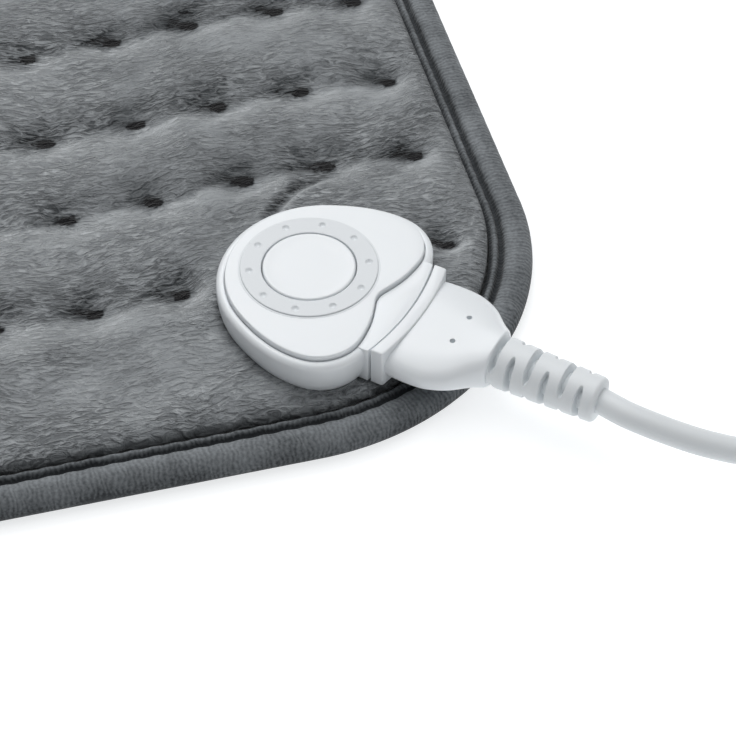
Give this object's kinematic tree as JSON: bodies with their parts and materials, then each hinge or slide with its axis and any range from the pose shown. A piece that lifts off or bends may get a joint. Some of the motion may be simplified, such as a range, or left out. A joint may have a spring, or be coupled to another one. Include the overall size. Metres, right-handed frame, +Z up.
{
  "type": "heating pad with controller",
  "caption": "Tufted plush heating pad with an edge binding, a round plug-in coupling at one corner, a hand controller with push buttons and a coiled mains lead.",
  "frame": {"origin": "centre of the pad's underside, on the surface it lies on", "axes": "+Z up; +X along the pad's long edge; +Y from the front edge, where the coupling is, to the back edge"},
  "size_m": [0.5857, 0.358, 0.0236],
  "materials": {
    "plush_cover": "soft short-pile plush, mottled mid grey",
    "binding_tape": "ribbed woven tape folded over the edge, mid grey",
    "fleece_carrier": "undyed non-woven fleece",
    "heating_wire": "insulated heating wire",
    "white_plastic": "smooth satin white moulding",
    "dial_plastic": "fine matt pale grey moulding",
    "soft_white": "soft white cable jacket and strain relief",
    "inner_plastic": "unpainted engineering plastic",
    "steel": "plated steel",
    "brass": "turned brass contacts",
    "board_green": "solder-masked circuit board",
    "black_plastic": "black switch bodies",
    "lamp_amber": "clear amber light guides",
    "tie_grey": "soft grey cable tie"
  },
  "bodies": {
    "pad": {"pad_bottom_cover": "plush_cover", "element_carrier": "fleece_carrier", "heating_wire": "heating_wire", "pad_top_cover": "plush_cover", "edge_binding": "binding_tape", "socket_base": "white_plastic", "socket_cover": "white_plastic", "dial_ring": "dial_plastic", "latch_spring": "steel", "latch_screw": "steel", "terminal_block": "inner_plastic", "contact_pin_1": "brass", "contact_pin_2": "brass", "contact_pin_3": "brass", "contact_pin_4": "brass", "thermal_fuse": "steel", "clamp_plate": "inner_plastic", "clamp_screw_1": "steel", "clamp_screw_2": "steel", "clamp_screw_3": "steel", "clamp_screw_4": "steel"},
    "lead": {"plug_shell": "white_plastic", "plug_nose": "inner_plastic", "contact_sleeve_1": "brass", "contact_sleeve_2": "brass", "contact_sleeve_3": "brass", "contact_sleeve_4": "brass", "strain_relief": "soft_white", "lead_cord": "soft_white", "lead_coil": "soft_white", "lead_tie": "tie_grey", "handset_lower_shell": "white_plastic", "handset_upper_shell": "white_plastic", "circuit_board": "board_green", "power_switch": "black_plastic", "warmer_switch": "black_plastic", "cooler_switch": "black_plastic", "level_lamp_1": "lamp_amber", "level_lamp_2": "lamp_amber", "level_lamp_3": "lamp_amber", "case_screw_1": "steel", "case_screw_2": "steel", "handset_relief_pad_side": "soft_white", "handset_relief_mains_side": "soft_white", "mains_cord": "soft_white", "mains_coil": "soft_white", "mains_tie": "tie_grey", "mains_plug_body": "white_plastic", "mains_plug_relief": "soft_white", "mains_pin_1": "steel", "mains_pin_2": "steel"},
    "release_button": {"release_button": "white_plastic"},
    "power_button": {"power_button": "dial_plastic"},
    "warmer_button": {"warmer_button": "dial_plastic"},
    "cooler_button": {"cooler_button": "dial_plastic"}
  },
  "joints": [
    {"name": "plug_pull", "type": "slide", "parent": "pad", "child": "lead", "axis": [0.7284, -0.6852, 0], "range_m": [0, 0.018]},
    {"name": "release_press", "type": "slide", "parent": "pad", "child": "release_button", "axis": [0, 0, -1], "range_m": [0, 0.0007], "stiffness_N_per_m": 900, "springref_m": -0.001, "deforming": ["latch_spring"]},
    {"name": "power_press", "type": "slide", "parent": "lead", "child": "power_button", "axis": [0, 0, -1], "range_m": [0, 0.0006], "stiffness_N_per_m": 800, "springref_m": -0.001},
    {"name": "warmer_press", "type": "slide", "parent": "lead", "child": "warmer_button", "axis": [0, 0, -1], "range_m": [0, 0.0006], "stiffness_N_per_m": 800, "springref_m": -0.001},
    {"name": "cooler_press", "type": "slide", "parent": "lead", "child": "cooler_button", "axis": [0, 0, -1], "range_m": [0, 0.0006], "stiffness_N_per_m": 800, "springref_m": -0.001}
  ]
}
